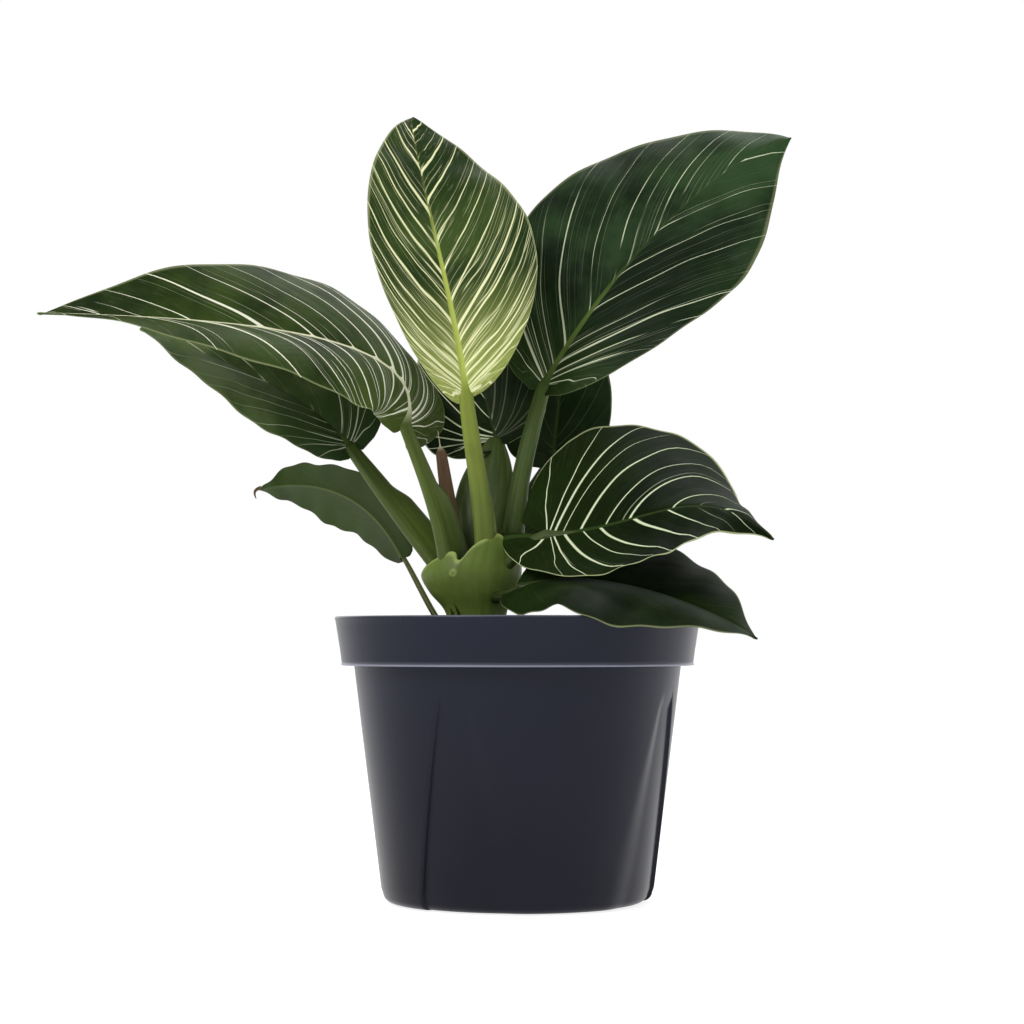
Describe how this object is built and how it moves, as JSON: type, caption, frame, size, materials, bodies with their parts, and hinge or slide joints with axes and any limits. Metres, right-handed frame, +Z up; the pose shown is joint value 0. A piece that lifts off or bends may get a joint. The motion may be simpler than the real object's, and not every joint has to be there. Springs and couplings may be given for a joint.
{
  "type": "potted philodendron",
  "caption": "Philodendron with pinstriped oval leaves on stout stalks, rooted in soil in a tapered nursery pot with a collar and four tapering flutes",
  "frame": {"origin": "centre of the pot's flat base, on the surface it stands on", "axes": "+Z up through the pot's axis; -Y is the front, where the young pale leaf faces; +X is to the right seen from the front"},
  "size_m": [0.3111, 0.1571, 0.3263],
  "materials": {
    "pot_plastic": "satin",
    "soil": "matte",
    "crown_green": "satin",
    "stalk_green": "satin",
    "dry_brown": "matte",
    "leaf_pale": "satin",
    "leaf_striped": "satin",
    "leaf_dark": "satin",
    "leaf_plain": "satin"
  },
  "bodies": {
    "root": {"pot": "pot_plastic", "potting_soil": "soil", "crown": "crown_green", "dried_sheath": "dry_brown", "stalk_young": "stalk_green", "stalk_right_upper": "stalk_green", "stalk_left_long": "stalk_green", "stalk_left_back": "stalk_green", "stalk_left_low": "stalk_green", "stalk_right_curled": "stalk_green", "stalk_right_back": "stalk_green", "stalk_centre_back": "stalk_green", "stalk_over_rim": "stalk_green", "leaf_young": "leaf_pale", "leaf_right_upper": "leaf_dark", "leaf_left_long": "leaf_striped", "leaf_left_back": "leaf_dark", "leaf_left_low": "leaf_plain", "leaf_right_curled": "leaf_striped", "leaf_right_back": "leaf_dark", "leaf_centre_back": "leaf_dark", "leaf_over_rim": "leaf_plain"}
  },
  "joints": []
}
